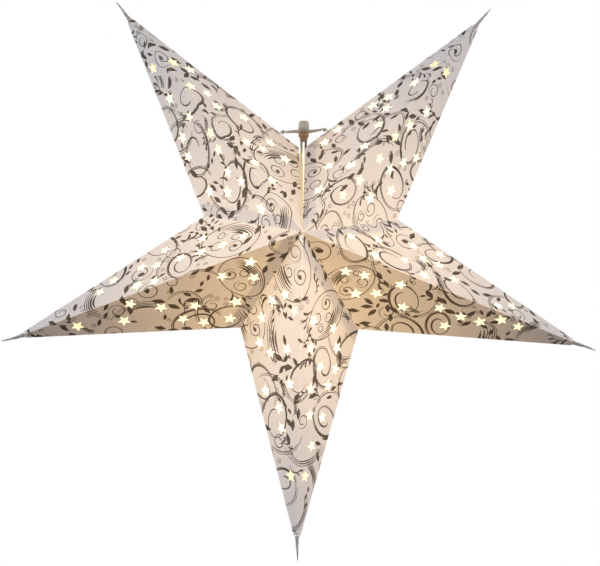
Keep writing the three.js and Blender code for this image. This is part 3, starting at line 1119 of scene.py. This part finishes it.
# %% [markdown]
# ## Neck, tie cord and knots
# The cord grip is a ribbed cap above a waist, where the tie cord lies, and below it are the
# neck's body and its threaded end. The tie cord is two-ply: its section is a figure of eight
# that turns along the cord. It passes the neck in front and behind, and ends in a knot on each
# upper arm.


# %% Neck
def grip_ribs(height, angle, radius):
    """Sixteen shallow flutes round the grip's side, none at its ends."""
    on_side = (height < -1.2) & (height > -8.1) & (radius > 4)
    return on_side * 0.16 * np.clip(np.cos(16 * angle), -0.4, 1)


def thread(pitch, depth, low, high):
    """A screw thread: a wave of the given depth that climbs one pitch per turn."""
    def ripple(height, angle, radius):
        fade = np.clip(np.minimum(height - low, high - height) / (0.5 * pitch), 0, 1)
        return fade * depth * np.sin(2 * np.pi * height / pitch - angle)
    return ripple


turned("cord_grip_cap", [(2.6, -9), (5.1, -9), (5.45, -8.5), (5.45, -8.1), (4.78, -1.1),
       (4.55, -0.5), (4.1, -0.08), (2.9, 0), (2.6, -0.3), (2.6, -9)], grip_plastic, "lamp",
       "grip_plastic", ["cord_grip"], step=0.35, segments=128, ripple=grip_ribs)
turned("neck", [(0, -20.6), (3.4, -20.6), (3.75, -20.2), (3.75, -16.5), (4.9, -16.3), (5.2, -15.9),
       (5.2, -12.5), (4.9, -12.1), (4.1, -11.9), (4.1, -9.5), (3.9, -9.3), (0, -9.3)],
       brown_plastic, "lamp", "brown_plastic", ["neck_body"], step=0.3, segments=96,
       ripple=thread(1.0, 0.16, -20.4, -16.6))

KNOT_SIDES = {"left": ("upper_left_arm", -1), "right": ("upper_right_arm", 1)}
WAIST_HEIGHT, WAIST_DEPTH, TIE_RADIUS = -10.4, 5.4, 1.0
knots = {}
for side in KNOT_SIDES:
    low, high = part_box(f"tie_knot_{side}")
    knots[side] = np.array((low + high) / 2) / MM


def two_ply(radius, turns):
    """The reach of a two-ply cord's section: two lobes that turn along the cord."""
    return lambda s, angle: radius * (0.70 + 0.30 * abs(np.cos(angle - np.pi * turns * s)))


for name, front in (("front", -1), ("back", 1)):
    path = []
    for side, (_, toward) in KNOT_SIDES.items():
        knot = knots[side]
        run = [(knot[0] - toward * 2.6, front * 1.4, knot[2]),
               (toward * 10, front * 3, WAIST_HEIGHT + (knot[2] - WAIST_HEIGHT) * 0.3),
               (toward * 4.4, front * WAIST_DEPTH * 0.92, WAIST_HEIGHT)]
        path += run if toward < 0 else run[::-1]
        if toward < 0:
            path.append((0, front * (WAIST_DEPTH + 0.4), WAIST_HEIGHT))
    swept(f"tie_cord_{name}_strand", smooth_path(path, 220), two_ply(TIE_RADIUS, 30), cord_fibre,
          "lamp", "tie_cord", [f"tie_cord_{name}"], up=(0, 0, 1), sides=16)

t = np.linspace(0, 2 * np.pi, 160, endpoint=False)
trefoil = np.stack([np.sin(t) + 2 * np.sin(2 * t), -np.sin(3 * t) * 1.15,
                    np.cos(t) - 2 * np.cos(2 * t)], 1) * 0.48
for side, (arm, toward) in KNOT_SIDES.items():
    swept(f"tie_knot_{side}_loops", knots[side] + trefoil, two_ply(0.86, 18), cord_fibre,
          f"{arm}_front_inner", "tie_cord", [f"tie_knot_{side}"],
          up=trefoil / 3 + (0.02, 0.01, 0.015), closed=True)
    end = [knots[side] + (toward * 0.4, -0.8, 0.0), knots[side] + (toward * 1.7, -1.8, -0.3),
           knots[side] + (toward * 2.7, -3.0, -1.6)]
    swept(f"tie_knot_{side}_end", smooth_path(end, 26), two_ply(0.75, 4), cord_fibre,
          f"{arm}_front_inner", "tie_cord", up=(0, 1, 0))
print("knots at", {side: knots[side].round(1).tolist() for side in knots})

# %% [markdown]
# ## Lamp
# Two leads hang from the neck to the holder. The holder has a domed cap, a ribbed skirt and an
# insert that carries the threaded brass sleeve, and the bulb screws into the sleeve.

# %% Lamp pieces
for side, toward, material, slot in (("left", -1, tan_insulation, "tan_lead"),
                                     ("right", 1, brown_insulation, "brown_lead")):
    path = smooth_path([(toward * 2.2, 0, -20.9), (toward * 2.2, 0, -30.6),
                        (toward * 3.6, 0, -44.6), (toward * 4.0, 0, -58),
                        (toward * 4.0, 0, -65.7)], 90)
    swept(f"lamp_lead_{side}_wire", path, lambda s, angle: 1.18 + 0.02 * np.cos(90 * s),
          material, "lamp", slot, [f"lamp_lead_{side}"], up=(0, 1, 0), sides=20)

HOLDER = -66.0


def from_holder(*profile):
    """Heights measured down from the holder's top."""
    return [(radius, HOLDER + height) for radius, height in profile]


def skirt_ribs(height, angle, radius):
    """Ribs round the upper third of the skirt's outer wall."""
    local = height - HOLDER
    on_band = (local < -17.5) & (local > -24.5) & (radius > 12.9)
    return on_band * -0.22 * np.clip(np.cos(40 * angle), -0.2, 1)


turned("holder_domed_cap", from_holder((11.4, -15), (13, -15), (13, -14.2), (12.6, -8),
       (12.0, -5.6), (10.9, -3.2), (9.4, -1.6), (7.2, -0.4), (6.4, 0), (0, 0))
       + from_holder((0, -1.8), (6, -1.8), (8.6, -3.6), (11, -8.6), (11.4, -15)), holder_plastic,
       "lamp", "holder_plastic", ["holder_cap"], segments=96)
turned("holder_outer_skirt", from_holder((11.8, -42), (13.0, -42), (13.4, -41.6), (14, -15.7),
       (13.7, -15.3), (12.4, -15.3), (11.8, -42)), holder_plastic, "lamp", "holder_plastic",
       ["holder_skirt"], step=0.8, segments=160, ripple=skirt_ribs)
turned("holder_terminal_insert", from_holder((0, -20.6), (11.4, -20.6), (11.85, -20.2),
       (11.85, -15.7), (11.5, -15.3), (0, -15.3)), holder_plastic, "lamp", "holder_plastic",
       ["holder_insert"], segments=96)
turned("holder_threaded_sleeve", from_holder((7.36, -40), (7.94, -40), (7.94, -20.9),
       (7.36, -20.9), (7.36, -40)), brass_metal, "lamp", "brass", ["holder_screw_sleeve"],
       step=0.35, segments=96, ripple=thread(2.82, 0.06, HOLDER - 39.8, HOLDER - 21.1))
turned("bulb_threaded_cap", from_holder((0, -44), (6.5, -44), (6.8, -43.5), (6.72, -41),
       (6.72, -25.2), (6.2, -24.5), (3.4, -23.6), (2.6, -22.5), (2.2, -22.2), (0, -22.2)),
       brass_metal, "bulb", "brass", ["bulb_screw_cap"], step=0.35, segments=96,
       ripple=thread(2.82, 0.14, HOLDER - 41.5, HOLDER - 25.0))
GLOBE_CENTRE, GLASS, BULB_NECK = -65.5, 0.8, 6.4
rise = np.linspace(-np.pi / 2, math.acos(BULB_NECK / GLOBE), 60)
arc = np.stack([np.cos(rise), np.sin(rise)], 1)
arc[0, 0] = 0
middle = (0, HOLDER + GLOBE_CENTRE)
outside, inside = (arc * radius + middle for radius in (GLOBE, GLOBE - GLASS))
neck_ring = from_holder((BULB_NECK, -44.35), (BULB_NECK - GLASS, -44.35))
turned("bulb_globe", np.concatenate([outside, neck_ring, inside[::-1]]), bulb_frost, "bulb",
       "bulb_glass", ["bulb_glass"], segments=96, smooth_below=60)
turned("bulb_stem_and_filament", from_holder((0, -66), (1.2, -66), (1.3, -62), (2.0, -54),
       (3.3, -44.6), (3.3, -44.35), (0, -44.35)), tungsten_metal, "bulb", "tungsten",
       ["bulb_stem"], step=0.5, segments=48, ripple=thread(1.4, 0.18, HOLDER - 65, HOLDER - 56))
print("lamp parts ready")
